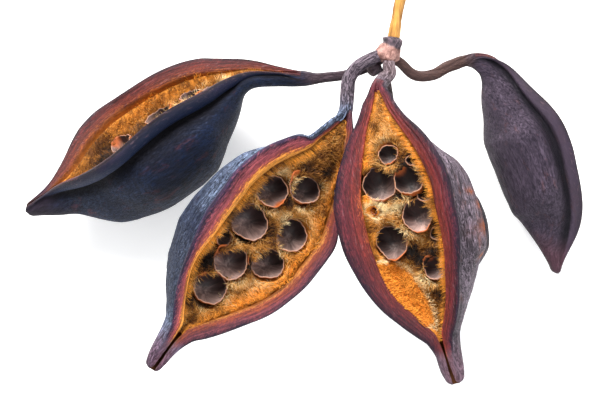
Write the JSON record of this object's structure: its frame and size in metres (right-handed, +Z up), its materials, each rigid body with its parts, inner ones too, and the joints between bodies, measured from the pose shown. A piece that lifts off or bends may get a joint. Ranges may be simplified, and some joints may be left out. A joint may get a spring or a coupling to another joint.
{
  "type": "kurrajong seed pod bunch",
  "caption": "Bunch of dry boat-shaped woody kurrajong pods, split open to show papery seed cups in golden hairs, on a short cut stalk.",
  "frame": {"origin": "on the surface that the bunch lies on, under the middle of its outline", "axes": "+X across the bunch from the left pod to the right pod, +Y towards the cut stalk, +Z up from the surface, towards the mouths of the two front pods"},
  "size_m": [0.1065, 0.0776, 0.0418],
  "materials": {
    "shell": "matt weathered woody skin, blue-black to purple-grey, with maroon and orange bands on the lips",
    "felt": "matt golden-brown hairs with papery grey-brown cups",
    "bark": "matt bark, pinkish brown with a dark collar",
    "stalk": "satin tan green wood"
  },
  "bodies": {
    "root": {"follicle_front_left": "shell", "follicle_front_right": "shell", "follicle_left": "shell", "follicle_right": "shell", "follicle_back": "shell", "seed_bed_front_left": "felt", "seed_bed_front_right": "felt", "seed_bed_left": "felt", "seed_bed_right": "felt", "seed_bed_back": "felt", "receptacle": "bark", "cut_stalk": "stalk"}
  },
  "joints": []
}
